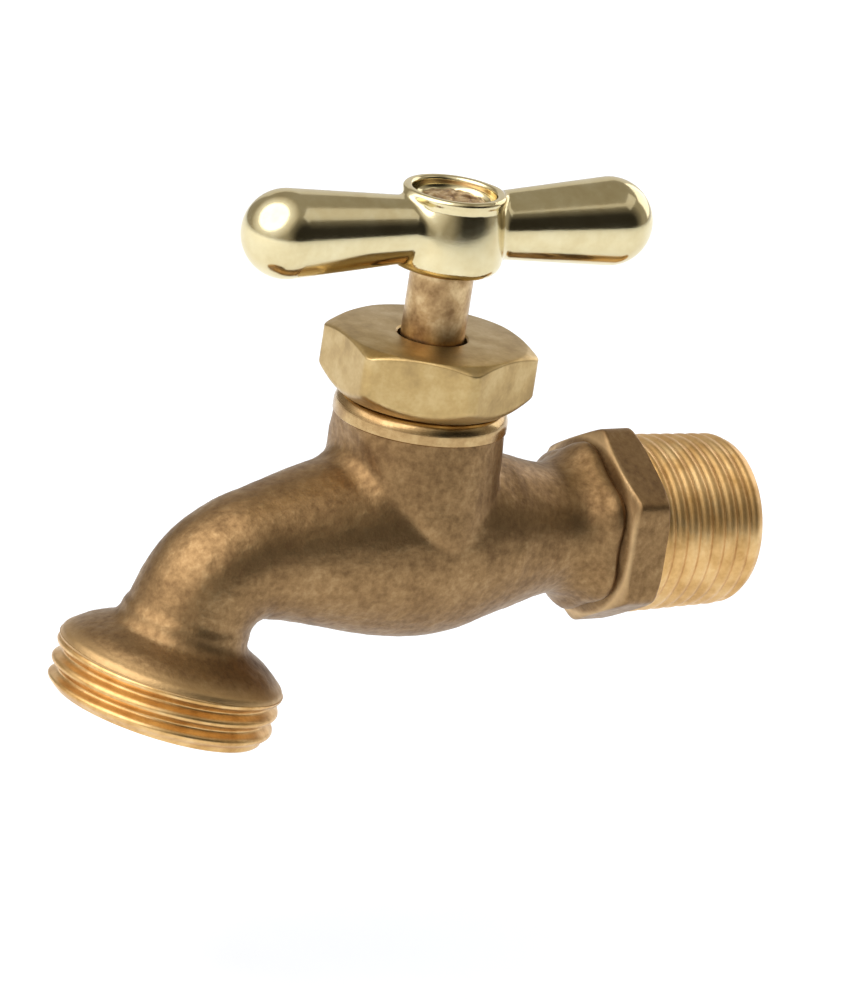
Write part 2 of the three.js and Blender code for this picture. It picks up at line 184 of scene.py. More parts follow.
def tube_faces(rows, columns, closed=False, climb=0):
    """Quads over rows of points, each row once round. Unless closed, the first and last rows are capped.

    A thread's row doesn't end where it starts, but climb rows higher.
    """
    row, column = np.meshgrid(np.arange(rows if closed else rows - 1), np.arange(columns), indexing="ij")
    next_column = (column + 1) % columns
    higher = np.where(next_column == 0, climb, 0)
    here = row * columns + column
    above = (row + 1) % rows * columns + column
    if closed:
        beside = row * columns + next_column
        across = (row + 1) % rows * columns + next_column
    else:
        beside = np.minimum(row + higher, rows - 1) * columns + next_column
        across = np.minimum(row + 1 + higher, rows - 1) * columns + next_column
    faces = np.stack([here, beside, across, above], axis=-1).reshape(-1, 4).tolist()
    if not closed:
        faces.append(list(range(columns))[::-1])
        faces.append(list(range((rows - 1) * columns, rows * columns)))
    return faces


def turned(profile, segments=96, closed=False):
    """A body of revolution round +Z from (radius, height) points, from the bottom up."""
    angle = np.linspace(0, 2 * math.pi, segments, endpoint=False)
    radius, height = np.array(profile, float).T
    points = np.stack([
        np.outer(radius, np.cos(angle)),
        np.outer(radius, np.sin(angle)),
        np.repeat(height[:, None], segments, axis=1),
    ], axis=-1)
    return points.reshape(-1, 3), tube_faces(len(profile), segments, closed)


def thread_radius(phase, pitch, crest, depth, crest_width, root_width, rounding):
    """Radius of a thread at a share of its pitch: a flat crest, sloped flanks and a flat root."""
    away = np.abs(np.mod(phase, 1) - 0.5) * pitch
    flank = (pitch - crest_width - root_width) / 2
    slope = crest - depth * (away - crest_width / 2) / flank
    return smooth_max(smooth_min(slope, crest, rounding), crest - depth, rounding)


def threaded(blank, pitch, depth, crest_width, root_width, low, high, segments, steps, rounding=0.12):
    """A thread cut on a turned blank, which is a function from height to radius.

    Its turns are counted from height 0, so that a screw and its nut made in one frame fit.
    """
    angle = np.linspace(0, 2 * math.pi, segments, endpoint=False)
    rows = np.arange(math.floor(low / pitch * steps) - steps - 1, math.ceil(high / pitch * steps) + 2)
    height = (rows[:, None] / steps + angle[None, :] / (2 * math.pi)) * pitch
    height = np.clip(height, low, high)
    phase = height / pitch - angle[None, :] / (2 * math.pi)
    groove = thread_radius(phase, pitch, 0, depth, crest_width, root_width, rounding)
    crest, bare = blank(height)
    radius = smooth_min(crest + groove, bare, rounding)
    points = np.stack([radius * np.cos(angle), radius * np.sin(angle), height], axis=-1)
    return points.reshape(-1, 3), tube_faces(len(rows), segments, climb=steps)


def surface_nets(field, low, high, step):
    """Quads along the zero surface of a field, one point in each cell that it crosses."""
    block = 4
    shape = tuple(math.ceil((b - a) / step / block) * block + 1 for a, b in zip(low, high))
    lines = [a + step * np.arange(n) for a, n in zip(low, shape)]
    grid = np.stack(np.meshgrid(*lines, indexing="ij"), axis=-1)
    coarse = field(grid[::block, ::block, ::block].reshape(-1, 3))
    coarse = coarse.reshape([(n - 1) // block + 1 for n in shape])
    nearest = np.ix_(*[np.rint(np.arange(n) / block).astype(int) for n in shape])
    value = coarse[nearest]
    near = np.abs(value) < 1.5 * block * step
    value[near] = field(grid[near])
    inside = value < 0
    cells = tuple(n - 1 for n in shape)
    corners = [(i, j, k) for i in (0, 1) for j in (0, 1) for k in (0, 1)]

    def corner(array, at):
        return array[tuple(slice(o, o + n) for o, n in zip(at, cells))]

    count = sum(corner(inside, at).astype(np.int8) for at in corners)
    active = (count > 0) & (count < 8)
    index = np.full(cells, -1)
    index[active] = np.arange(active.sum())
    total = np.zeros((active.sum(), 3))
    hits = np.zeros(active.sum())
    for axis in range(3):
        for at in corners:
            if at[axis]:
                continue
            end = tuple(o + (n == axis) for n, o in enumerate(at))
            a, b = corner(value, at)[active], corner(value, end)[active]
            crosses = (a < 0) != (b < 0)
            share = np.where(crosses, a / np.where(crosses, a - b, 1), 0)
            place = np.tile(np.array(at, float), (len(a), 1))
            place[:, axis] += share
            total += place * crosses[:, None]
            hits += crosses
    base = np.stack(np.nonzero(active), axis=-1)
    points = np.array(low) + (base + total / hits[:, None]) * step
    faces = []
    for axis in range(3):
        first, second = [n for n in range(3) if n != axis]
        if axis == 1:
            first, second = second, first
        near = [slice(1, n - 1) for n in shape]
        near[axis] = slice(0, shape[axis] - 1)
        far = list(near)
        far[axis] = slice(1, shape[axis])
        near_in, far_in = inside[tuple(near)], inside[tuple(far)]
        where = np.stack(np.nonzero(near_in != far_in), axis=-1)
        starts = near_in[tuple(where.T)]
        where = where + [n.start for n in near]

        def around(step_first, step_second):
            cell = where.copy()
            cell[:, first] += step_first
            cell[:, second] += step_second
            return index[tuple(cell.T)]

        quad = np.stack([around(-1, -1), around(0, -1), around(0, 0), around(-1, 0)], axis=-1)
        quad[~starts] = quad[~starts][:, ::-1]
        faces.append(quad)
    return points, np.concatenate(faces)


def slope_of(field, points, reach=0.02):
    """The field's gradient, from values a short reach to either side."""
    rises = [field(points + reach * axis) - field(points - reach * axis) for axis in np.eye(3)]
    return np.stack(rises, axis=-1) / (2 * reach)


def settled(field, points, rounds):
    """The points moved onto the zero surface of the field."""
    for _ in range(rounds):
        slope = slope_of(field, points)
        points = points - (field(points) / np.maximum((slope ** 2).sum(1), 0.1))[:, None] * slope
    return points


def relaxed(points, faces):
    """Each point moved halfway to the middle of its neighbours."""
    total = np.zeros_like(points)
    count = np.zeros(len(points))
    for side in range(4):
        a, b = faces[:, side], faces[:, (side + 1) % 4]
        for one, other in ((a, b), (b, a)):
            for axis in range(3):
                total[:, axis] += np.bincount(one, points[other, axis], len(points))
            count += np.bincount(one, minlength=len(points))
    return points + (total / count[:, None] - points) * 0.5


def skin_of(field, low, high, step):
    """An even quad mesh of the zero surface of a field."""
    points, faces = surface_nets(field, low, high, step)
    points = settled(field, points, 2)
    for _ in range(2):
        points = settled(field, relaxed(points, faces), 2)
    return points, faces


def new_piece(name, shape, material=None, sharp=38, matrix=UPRIGHT, offset=0):
    """A mesh object from points in the valve's millimetres and faces."""
    points, faces = shape
    points = (moved(points, matrix) + [0, STEM_Y, 0]) * MM
    mesh = bpy.data.meshes.new(name)
    mesh.from_pydata(points.tolist(), [], [list(face) for face in faces])
    piece = bpy.data.objects.new(name, mesh)
    bpy.context.scene.collection.objects.link(piece)
    weld(mesh)
    for one in material if isinstance(material, (list, tuple)) else [material]:
        mesh.materials.append(one)
    if offset:
        mesh.polygons.foreach_set("material_index", [offset] * len(mesh.polygons))
    finish_shading(mesh, sharp)
    return piece


def weld(mesh, distance=2e-6):
    """Merges points that coincide, drops faces with no area and turns the rest outwards."""
    made = bmesh.new()
    made.from_mesh(mesh)
    bmesh.ops.remove_doubles(made, verts=made.verts, dist=distance)
    bmesh.ops.dissolve_degenerate(made, edges=made.edges, dist=distance)
    bmesh.ops.recalc_face_normals(made, faces=made.faces)
    made.to_mesh(mesh)
    made.free()


def finish_shading(mesh, sharp):
    """Smooth shading, with edges sharper than the given degrees left hard."""
    mesh.shade_smooth()
    mesh.set_sharp_from_angle(angle=math.radians(sharp))


def body_piece(name, shape, **settings):
    """Part of the valve body, with every finish that the body has."""
    return new_piece(name, shape, BODY_FINISHES, **settings)


def cut_or_join(piece, others, operation):
    """Cuts the others from the piece, or joins them to it, and removes them."""
    for other in others:
        modifier = piece.modifiers.new(operation, "BOOLEAN")
        modifier.solver = "MANIFOLD"
        modifier.operation = operation
        modifier.object = other
    bpy.context.view_layer.update()
    seen = piece.evaluated_get(bpy.context.evaluated_depsgraph_get())
    mesh = bpy.data.meshes.new_from_object(seen)
    piece.modifiers.clear()
    piece.data = mesh
    for other in others:
        bpy.data.objects.remove(other)
    return piece


def ready(piece, body, slot, *nodes):
    """Says which body a piece rides on and hides the CAD nodes it stands for; slot, its finish, is not used.
    """
    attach(piece, body)
    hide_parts(*nodes)
    return piece


# ---------------------------------------------------------------- materials


def node(tree, kind, inputs=None, **settings):
    """A new node, whose inputs are values or other nodes' sockets."""
    made = tree.nodes.new(kind)
    for key, value in settings.items():
        setattr(made, key, value)
    for key, value in (inputs or {}).items():
        if isinstance(value, bpy.types.NodeSocket):
            tree.links.new(value, made.inputs[key])
        else:
            made.inputs[key].default_value = value
    return made


def ramp(tree, factor, *stops):
    """A colour ramp from (position, grey or colour) stops."""
    made = node(tree, "ShaderNodeValToRGB", {"Fac": factor})
    elements = made.color_ramp.elements
    while len(elements) < len(stops):
        elements.new(0.5)
    for element, (position, colour) in zip(elements, stops):
        element.position = position
        element.color = (*colour, 1) if isinstance(colour, tuple) else (colour, colour, colour, 1)
    return made.outputs["Color"]


def speckle(tree, place, scale, detail=3.0, roughness=0.55):
    """Noise whose grains are about 1 / scale millimetres."""
    made = node(tree, "ShaderNodeTexNoise", {
        "Vector": place, "Scale": scale, "Detail": detail, "Roughness": roughness})
    return made.outputs["Fac"]


def mixed(tree, share, a, b):
    """Colour a, turning to colour b as share goes from 0 to 1."""
    made = node(tree, "ShaderNodeMix", data_type="RGBA")
    for socket, value in ((made.inputs[0], share), (made.inputs[6], a), (made.inputs[7], b)):
        if isinstance(value, bpy.types.NodeSocket):
            tree.links.new(value, socket)
        elif isinstance(value, tuple):
            socket.default_value = (*value, 1)
        else:
            socket.default_value = value
    return made.outputs[2]


def computed(tree, operation, *values):
    """One step of arithmetic on values or sockets."""
    made = node(tree, "ShaderNodeMath", operation=operation)
    for socket, value in zip(made.inputs, values):
        if isinstance(value, bpy.types.NodeSocket):
            tree.links.new(value, socket)
        else:
            socket.default_value = value
    return made.outputs["Value"]


def blended(tree, a, share, b):
    """A share of a plus the rest of b."""
    rest = computed(tree, "MULTIPLY", b, 1 - share)
    return computed(tree, "ADD", computed(tree, "MULTIPLY", a, share), rest)


def bumped(tree, height, depth, before=None):
    """A bump of the given depth in millimetres."""
    inputs = {"Height": height, "Distance": depth * MM, "Strength": 1.0}
    if before is not None:
        inputs["Normal"] = before
    return node(tree, "ShaderNodeBump", inputs).outputs["Normal"]


def start_material(name, metallic):
    """A material's node tree, its shader, and a point's place on the valve in millimetres."""
    material = bpy.data.materials.new(name)
    material.use_nodes = True
    tree = material.node_tree
    shader = tree.nodes["Principled BSDF"]
    shader.inputs["Metallic"].default_value = metallic
    where = node(tree, "ShaderNodeTexCoord").outputs["Object"]
    place = node(tree, "ShaderNodeVectorMath", {0: where}, operation="SCALE")
    place.inputs["Scale"].default_value = 1 / MM
    return material, tree, shader, place.outputs["Vector"]


def dress(tree, shader, colour, roughness, relief):
    """Links a surface's colour, roughness and relief to its shader."""
    tree.links.new(colour, shader.inputs["Base Color"])
    tree.links.new(roughness, shader.inputs["Roughness"])
    tree.links.new(relief, shader.inputs["Normal"])


def about_axis(tree, place, matrix):
    """The height along a shape's axis and the distance from it, in millimetres."""
    centred = node(tree, "ShaderNodeVectorMath", {0: place, 1: (0, -STEM_Y, 0)}, operation="ADD")
    inverse = matrix.inverted()
    turned_to = node(tree, "ShaderNodeMapping", {
        "Vector": centred.outputs["Vector"],
        "Location": inverse.to_translation(), "Rotation": inverse.to_euler("XYZ")})
    apart = node(tree, "ShaderNodeSeparateXYZ", {"Vector": turned_to.outputs["Vector"]})
    x, y, height = (apart.outputs[axis] for axis in "XYZ")
    radius = computed(tree, "SQRT", computed(tree, "ADD",
                      computed(tree, "MULTIPLY", x, x), computed(tree, "MULTIPLY", y, y)))
    return height, radius


def turning_lines(tree, place, matrix, per_mm):
    """Fine rings left by a lathe tool, as a height from 0 to 1."""
    height, radius = about_axis(tree, place, matrix)
    along = computed(tree, "ADD", height, radius)
    made = node(tree, "ShaderNodeTexNoise", {"W": along, "Scale": per_mm, "Detail": 3.0, "Roughness": 0.7},
                noise_dimensions="1D")
    return made.outputs["Fac"]


def cast_brass():
    """Sand-cast brass: brown and grainy, golden where the shoulder's edge was turned with the hose thread,
    with a painted highlight on the hexagon's rim and painted shade in the groove before it.
    """
    material, tree, shader, place = start_material("cast_brass", 1.0)
    patches = speckle(tree, place, 0.20, 3.0, 0.55)
    grain = speckle(tree, place, 1.1, 3.0, 0.65)
    sand = speckle(tree, place, 2.6, 2.0, 0.6)
    tone = blended(tree, patches, 0.4, grain)
    skin = ramp(tree, tone, (0.34, (0.192, 0.109, 0.048)), (0.46, (0.258, 0.153, 0.067)),
                (0.55, (0.304, 0.184, 0.082)), (0.68, (0.380, 0.243, 0.115)))
    height, radius = about_axis(tree, place, AT_OUTLET)
    outer = ramp(tree, computed(tree, "MULTIPLY", radius, 0.05), (0.58, 0.0), (0.665, 0.8))
    low = ramp(tree, computed(tree, "MULTIPLY", height, 0.05), (0.38, 1.0), (0.46, 0.0))
    turned_share = computed(tree, "MULTIPLY", outer, low)
    colour = mixed(tree, turned_share, skin, (0.58, 0.375, 0.17))
    height, radius = about_axis(tree, place, ALONG_INLET)
    # Painted highlight: a lighter band along the hexagon's rim next to its cone, where the rounded edge
    # catches the key light.
    rim_highlight = ramp(tree, computed(tree, "MULTIPLY", height, 0.02), (0.494, 0.0), (0.508, 1.0), (0.520, 0.0))
    outside = ramp(tree, computed(tree, "MULTIPLY", radius, 0.05), (0.505, 0.0), (0.53, 0.75))
    colour = mixed(tree, computed(tree, "MULTIPLY", rim_highlight, outside), colour, (0.66, 0.45, 0.23))
    # Painted shade: a dark band all round the groove between the cast flare and the hexagon's rim.
    groove_shade = ramp(tree, computed(tree, "MULTIPLY", height, 0.02), (0.482, 0.0), (0.492, 0.7), (0.504, 0.0))
    colour = mixed(tree, groove_shade, colour, (0.10, 0.06, 0.028))
    relief = bumped(tree, sand, 0.016, bumped(tree, grain, 0.045))
    dress(tree, shader, colour, ramp(tree, tone, (0.3, 0.52), (0.7, 0.36)), relief)
    return material


def machined_brass(name, matrix, dark, middle, light, roughness, lines=0.012, dust_depth=0.008):
    """Brass turned on a lathe about one axis, satin, with faint rings and soft stains."""
    material, tree, shader, place = start_material(name, 1.0)
    rings = turning_lines(tree, place, matrix, 4.0)
    stains = speckle(tree, place, 0.33, 3.0, 0.55)
    dust = speckle(tree, place, 2.4, 2.0, 0.5)
    tone = blended(tree, stains, 0.8, dust)
    colour = ramp(tree, tone, (0.32, dark), (0.5, middle), (0.66, light))
    dull = ramp(tree, tone, (0.3, roughness + 0.08), (0.7, roughness - 0.06))
    dress(tree, shader, colour, dull, bumped(tree, dust, dust_depth, bumped(tree, rings, lines)))
    return material


def polished_brass():
    """The handle's polished pale brass, with faint polishing marks and smears."""
    material, tree, shader, place = start_material("polished_brass", 1.0)
    smears = speckle(tree, place, 0.3, 4.0, 0.65)
    marks = node(tree, "ShaderNodeVectorMath", {0: place, 1: (6.0, 0.8, 6.0)}, operation="MULTIPLY")
    marks = speckle(tree, marks.outputs["Vector"], 1.0, 3.0, 0.6)
    colour = ramp(tree, smears, (0.3, (0.66, 0.545, 0.305)), (0.5, (0.715, 0.61, 0.36)),
                  (0.7, (0.765, 0.67, 0.425)))
    dress(tree, shader, colour, ramp(tree, smears, (0.3, 0.10), (0.7, 0.16)), bumped(tree, marks, 0.004))
    return material


def rough_peen():
    """The hammered end of the stem in the handle's recess."""
    material, tree, shader, place = start_material("peened_brass", 1.0)
    dents = speckle(tree, place, 0.8, 3.0, 0.6)
    grain = speckle(tree, place, 3.0, 3.0, 0.6)
    colour = ramp(tree, dents, (0.35, (0.30, 0.17, 0.08)), (0.5, (0.60, 0.40, 0.20)),
                  (0.65, (0.85, 0.68, 0.42)))
    relief = bumped(tree, grain, 0.06, bumped(tree, dents, 0.25))
    dress(tree, shader, colour, ramp(tree, grain, (0.3, 0.5), (0.7, 0.3)), relief)
    return material


def graphite_packing():
    """Braided packing black with graphite: diagonal strands across each other."""
    material, tree, shader, place = start_material("graphite_packing", 0.35)
    weave = node(tree, "ShaderNodeTexWave", {
        "Vector": place, "Scale": 0.55, "Distortion": 1.2, "Detail": 2.0}, bands_direction="DIAGONAL")
    fibres = speckle(tree, place, 5.0, 3.0, 0.6)
    colour = ramp(tree, fibres, (0.3, (0.02, 0.02, 0.022)), (0.7, (0.085, 0.085, 0.09)))
    relief = bumped(tree, fibres, 0.03, bumped(tree, weave.outputs["Fac"], 0.12))
    dress(tree, shader, colour, ramp(tree, fibres, (0.3, 0.45), (0.7, 0.7)), relief)
    return material


def black_rubber():
    """The seat washer's rubber, with a pale bloom in patches."""
    material, tree, shader, place = start_material("black_rubber", 0.0)
    bloom = speckle(tree, place, 0.6, 4.0, 0.6)
    skin = speckle(tree, place, 7.0, 2.0, 0.5)
    colour = ramp(tree, bloom, (0.35, (0.012, 0.012, 0.012)), (0.7, (0.045, 0.043, 0.04)))
    dress(tree, shader, colour, ramp(tree, bloom, (0.3, 0.55), (0.7, 0.8)), bumped(tree, skin, 0.01))
    return material


CAST = cast_brass()
GOLD = (0.53, 0.30, 0.100), (0.68, 0.42, 0.168), (0.77, 0.52, 0.24)
TURNED_ON_INLET = machined_brass("machined_inlet", ALONG_INLET, *GOLD, 0.38)
TURNED_ON_OUTLET = machined_brass("machined_outlet", AT_OUTLET, *GOLD, 0.34)
DULL_GOLD = (0.33, 0.20, 0.085), (0.45, 0.29, 0.13), (0.58, 0.41, 0.20)
NUT_GOLD = (0.405, 0.277, 0.119), (0.495, 0.343, 0.145), (0.565, 0.412, 0.196)
STEM_GOLD = (0.25, 0.145, 0.065), (0.44, 0.285, 0.135), (0.66, 0.48, 0.26)
TURNED_ON_NECK = machined_brass("machined_neck", UPRIGHT, *DULL_GOLD, 0.21)
NUT_BRASS = machined_brass("nut_brass", UPRIGHT, *NUT_GOLD, 0.36, 0.005)
STEM_BRASS = machined_brass("stem_brass", UPRIGHT, *STEM_GOLD, 0.33, 0.006)
PEENED = rough_peen()
POLISHED = polished_brass()
GRAPHITE = graphite_packing()
RUBBER = black_rubber()
BODY_FINISHES = [CAST, TURNED_ON_INLET, TURNED_ON_OUTLET, TURNED_ON_NECK]
ON_INLET, ON_OUTLET, ON_NECK = 1, 2, 3
STEM_FINISHES = [STEM_BRASS, PEENED]

# ---------------------------------------------------------------- the casting


def on_outlet_axis(height):
    """The (y, z) place at a height above the outlet's end face."""
    return OUTLET_POINT[1:] - height * OUTLET_AXIS[1:]


# The cast run from the hexagon through the belly and down the spout: (y, z), half width, half height.
RUN_STATIONS = [
    ((27.0, 0.0), 9.0, 9.0), ((25.4, 0.0), 9.1, 9.1), ((24.8, 0.0), 9.65, 9.65),
    ((24.1, 0.0), 9.85, 9.85), ((23.2, 0.0), 9.45, 9.45), ((22.3, 0.0), 8.7, 8.7),
    ((21.0, 0.0), 8.0, 8.0), ((19.5, 0.0), 7.72, 7.72), ((17.5, 0.0), 8.0, 8.05), ((15.2, 0.0), 8.6, 8.65),
    ((12.8, 0.0), 9.2, 9.35), ((10.4, 0.0), 9.75, 9.95), ((5.4, -0.1), 10.4, 11.45),
    ((0.0, -0.2), 10.6, 11.75), ((-6.0, -0.3), 10.2, 10.95), ((-12.3, -0.5), 9.3, 9.5),
    ((-18.1, -1.0), 8.06, 8.06), ((-21.9, -1.9), 7.45, 7.45), ((-25.3, -4.3), 7.28, 7.28),
    (on_outlet_axis(11.5), 7.2, 7.2), (on_outlet_axis(7.0), 7.4, 7.4), (on_outlet_axis(4.0), 7.4, 7.4),
]


def curve_through(values, per_span=16):
    """A centripetal-free Catmull-Rom curve through rows of values."""
    values = np.array(values, float)
    padded = np.vstack([2 * values[0] - values[1], values, 2 * values[-1] - values[-2]])
    t = np.linspace(0, 1, per_span, endpoint=False)[:, None]
    spans = []
    for a, b, c, d in zip(padded, padded[1:], padded[2:], padded[3:]):
        spans.append(0.5 * (2 * b + (c - a) * t + (2 * a - 5 * b + 4 * c - d) * t ** 2
                            + (3 * b - a - 3 * c + d) * t ** 3))
    return np.vstack(spans + [values[-1:]])


RUN = curve_through([[*place, wide, high] for place, wide, high in RUN_STATIONS])
RUN_LENGTH = np.concatenate([[0], np.cumsum(np.linalg.norm(np.diff(RUN[:, :2], axis=0), axis=1))])
RUN_TANGENT = np.gradient(RUN[:, :2], RUN_LENGTH, axis=0)
RUN_TANGENT /= np.linalg.norm(RUN_TANGENT, axis=1)[:, None]

# Towards the hexagon the run's round section takes on a little of its shape.
FLARE_START, FLARE_END = 20.5, 24.8
FLARE_HEXNESS = 0.05

RUN_TABLE_STEP = 0.15
RUN_TABLE_LOW, RUN_TABLE_HIGH = np.array([-46.0, -24.0]), np.array([30.0, 18.0])


def nearest_table():
    """For a grid of places in the middle plane, which point of the run is nearest."""
    y, z = [np.arange(a, b, RUN_TABLE_STEP) for a, b in zip(RUN_TABLE_LOW, RUN_TABLE_HIGH)]
    along_y = (y[:, None] - RUN[None, :, 0]) ** 2
    along_z = (z[:, None] - RUN[None, :, 1]) ** 2
    return np.stack([(row[None, :] + along_z).argmin(1) for row in along_y])


NEAREST = nearest_table()


def run_field(points):
    """How far points are outside the elliptical run, in millimetres."""
    flat = points[:, 1:]
    place = np.rint((flat - RUN_TABLE_LOW) / RUN_TABLE_STEP).astype(int)
    place = np.clip(place, 0, np.array(NEAREST.shape) - 1)
    nearest = NEAREST[place[:, 0], place[:, 1]]
    ahead = ((flat - RUN[nearest, :2]) * RUN_TANGENT[nearest]).sum(1)
    reached = RUN_LENGTH[nearest] + ahead
    at = np.clip(reached, 0, RUN_LENGTH[-1])
    middle = np.stack([np.interp(at, RUN_LENGTH, RUN[:, n]) for n in (0, 1)], axis=-1)
    tangent = np.stack([np.interp(at, RUN_LENGTH, RUN_TANGENT[:, n]) for n in (0, 1)], axis=-1)
    wide = np.interp(at, RUN_LENGTH, RUN[:, 2])
    high = np.interp(at, RUN_LENGTH, RUN[:, 3])
    away = flat - middle
    side = points[:, 0]
    up = away[:, 1] * -tangent[:, 0] + away[:, 0] * tangent[:, 1]
    share = np.sqrt((side / wide) ** 2 + (up / high) ** 2) + 1e-9
    turn = np.arctan2(side, up)
    share = share / (1 + FLARE_HEXNESS * smooth_step(FLARE_START, FLARE_END, flat[:, 0]) * np.cos(6 * turn))
    steepness = np.sqrt((side / wide ** 2) ** 2 + (up / high ** 2) ** 2) / share + 1e-6
    body = (share - 1) / np.maximum(steepness, 0.05)
    return np.maximum(body, np.maximum(-reached, reached - RUN_LENGTH[-1]))


# Beyond this distance a lathe's field is only a rough one.
FAR = 6.0


def lathe_field(profile):
    """A signed distance to a body of revolution round +Z, from its closed (radius, height) outline."""
    outline = np.array(profile, float)
    ends = np.roll(outline, -1, axis=0)
    middle = np.array([0, outline[:, 1].mean()])
    reach = np.linalg.norm(outline - middle, axis=1).max()

    def field(points):
        flat = np.stack([np.hypot(points[:, 0], points[:, 1]), points[:, 2]], axis=-1)
        away = np.linalg.norm(flat - middle, axis=1) - reach
        near = away < FAR
        away[near] = exact(flat[near])
        return away

    def exact(flat):
        best = np.full(len(flat), 1e9)
        inside = np.zeros(len(flat), bool)
        for a, b in zip(outline, ends):
            along = b - a
            t = np.clip(((flat - a) @ along) / (along @ along + 1e-12), 0, 1)
            best = np.minimum(best, ((flat - a - t[:, None] * along) ** 2).sum(1))
            if a[1] != b[1]:
                level = (a[1] > flat[:, 1]) != (b[1] > flat[:, 1])
                inside ^= level & (flat[:, 0] < a[0] + (flat[:, 1] - a[1]) * along[0] / along[1])
        return np.sqrt(best) * np.where(inside, -1, 1)

    return field


SHOULDER = curve_through([(13.4, 5.2), (13.35, 5.9), (13.1, 6.6), (12.55, 7.1), (11.9, 7.65), (11.0, 8.3),
                          (9.95, 8.85), (8.9, 9.4), (8.1, 9.95), (7.5, 10.7), (7.2, 11.6)], 6)
# The cast skin starts a step inside the shoulder's turned edge and comes up level with it.
SKIN_STEP = 0.08
CAST_SHOULDER_FOOT = SHOULDER_AT + 0.35
CAST_SHOULDER = [(radius - SKIN_STEP * (1 - smooth_step(6.8, 7.9, height)), height)
                 for radius, height in SHOULDER if height > CAST_SHOULDER_FOOT]
shoulder_field = lathe_field([(0, CAST_SHOULDER_FOOT), (CAST_SHOULDER[0][0] - 0.3, CAST_SHOULDER_FOOT),
                              *CAST_SHOULDER, (0, 11.8)])
OUTLET_INVERSE = AT_OUTLET.inverted()

NECK_TONGUE_Y, NECK_TONGUE_CURVE = 0.8, 0.11
# The neck meets the belly in a crease behind and at the sides, and in a wide sweep towards the spout.
NECK_CREASE, NECK_SWEEP = 0.45, 5.5
SWEEP_FULL_Y, SWEEP_NONE_Y = -10.5, -1.5


def neck_field(points):
    """The neck widens a little downwards and ends in a soft tongue on the belly's sides."""
    height = points[:, 2]
    side = np.hypot(points[:, 0], points[:, 1]) - NECK_R - NECK_DRAFT * (COLLAR_BOTTOM - height)
    top_cut = height - COLLAR_BOTTOM - 0.6
    foot = NECK_FOOT + NECK_TONGUE_CURVE * (points[:, 1] - NECK_TONGUE_Y) ** 2
    return smooth_max(np.maximum(side, top_cut), (foot - height) * 0.7, 1.0)


def casting_field(points):
    """How far points are outside the whole casting, before it is machined."""
    run = run_field(points)
    shoulder = shoulder_field(moved(points, OUTLET_INVERSE))
    sweep = 1 - smooth_step(SWEEP_FULL_Y, SWEEP_NONE_Y, points[:, 1])
    body = smooth_min(run, neck_field(points), NECK_CREASE + NECK_SWEEP * sweep ** 2)
    return smooth_min(body, shoulder, 1.2)


def rumpled(points, normals, amount, size):
    """Points moved along their normals by slow noise, as a casting's skin is never quite true."""
    lift = np.array([noise.fractal(Vector(p) / size, 0.6, 2.0, 3) for p in points])
    return points + normals * (lift * amount)[:, None]


def rough_casting():
    """The casting's skin as points and faces."""
    low, high = (-13.9, -44.0, -20.4), (13.9, 28.0, 15.6)
    points, faces = skin_of(casting_field, low, high, 0.42)
    slope = slope_of(casting_field, points)
    normals = slope / np.linalg.norm(slope, axis=1)[:, None]
    return rumpled(points, normals, 0.05, 2.2), faces


# ---------------------------------------------------------------- the valve body's machined parts


def straight_blank(radius):
    """The blank of a thread with no taper and no chamfers."""
    def blank(height):
        crest = np.full_like(height, radius)
        return crest, crest

    return blank


def inlet_blank(from_end):
    """The inlet's turned blank at a distance from its end face: (thread crest, bare outline)."""
    crest = INLET_CREST_R - INLET_TAPER * (INLET_REACH - HEX_END - from_end)
    chamfer = INLET_CREST_R - INLET_THREAD_DEPTH - 0.75 + from_end * 0.75
    relief = HEX_APOTHEM - 0.15 + (INLET_REACH - HEX_END - from_end) * 1.0
    return crest, smooth_min(smooth_min(crest + 0.02, chamfer, 0.6), relief, 0.2)


def inlet_thread():
    """Height runs from the end face towards the hexagon."""
    long = INLET_REACH - HEX_END + 0.6
    shape = threaded(inlet_blank, INLET_PITCH, INLET_THREAD_DEPTH, 0.5, 0.3, 0.0, long, 192, 14, 0.25)
    end_to_wall = Matrix.Translation((0, INLET_REACH, 0)) @ Matrix.Rotation(math.pi / 2, 4, "X")
    return body_piece("inlet_thread", shape, matrix=end_to_wall, offset=ON_INLET)


def hose_blank(height):
    """The hose thread's blank, chamfered at its end."""
    crest = np.full_like(height, HOSE_CREST_R)
    chamfer = HOSE_CREST_R - HOSE_THREAD_DEPTH - 0.1 + height * 1.25
    return crest, smooth_min(crest + 0.02, chamfer, 0.5)


def hose_thread():
    """The thread runs from the outlet's end face to just inside the shoulder."""
    top = SHOULDER_AT + 0.1
    shape = threaded(hose_blank, HOSE_PITCH, HOSE_THREAD_DEPTH, 0.45, 0.45, 0.0, top, 240, 20, 0.5)
    started = AT_OUTLET @ Matrix.Rotation(HOSE_THREAD_START, 4, "Z")
    return body_piece("hose_thread", shape, matrix=started, offset=ON_OUTLET)


def shoulder_roll():
    """The shoulder's turned edge above the hose thread, which runs out under the cast skin."""
    roll = 0.5
    lip, top = SHOULDER_AT - 0.5, SHOULDER_AT + 2.2
    outline = arc((SHOULDER[0, 0] - roll, lip + roll), roll, -90, 0, 8)
    outline += [(radius - SKIN_STEP * smooth_step(top - 0.9, top, height), height)
                for radius, height in SHOULDER if lip + roll < height < top]
    shape = turned([(0, lip), *outline, (0, outline[-1][1])], 240)
    return body_piece("shoulder_roll", shape, matrix=AT_OUTLET)


def warped_turns(count, sides=6, gather=0.6):
    """Angles round a hexagonal piece, gathered at its corners."""
    t = np.arange(count) / count * sides
    part = t - np.floor(t)
    return (np.floor(t) + part - gather * np.sin(2 * math.pi * part) / (2 * math.pi)) * 2 * math.pi / sides


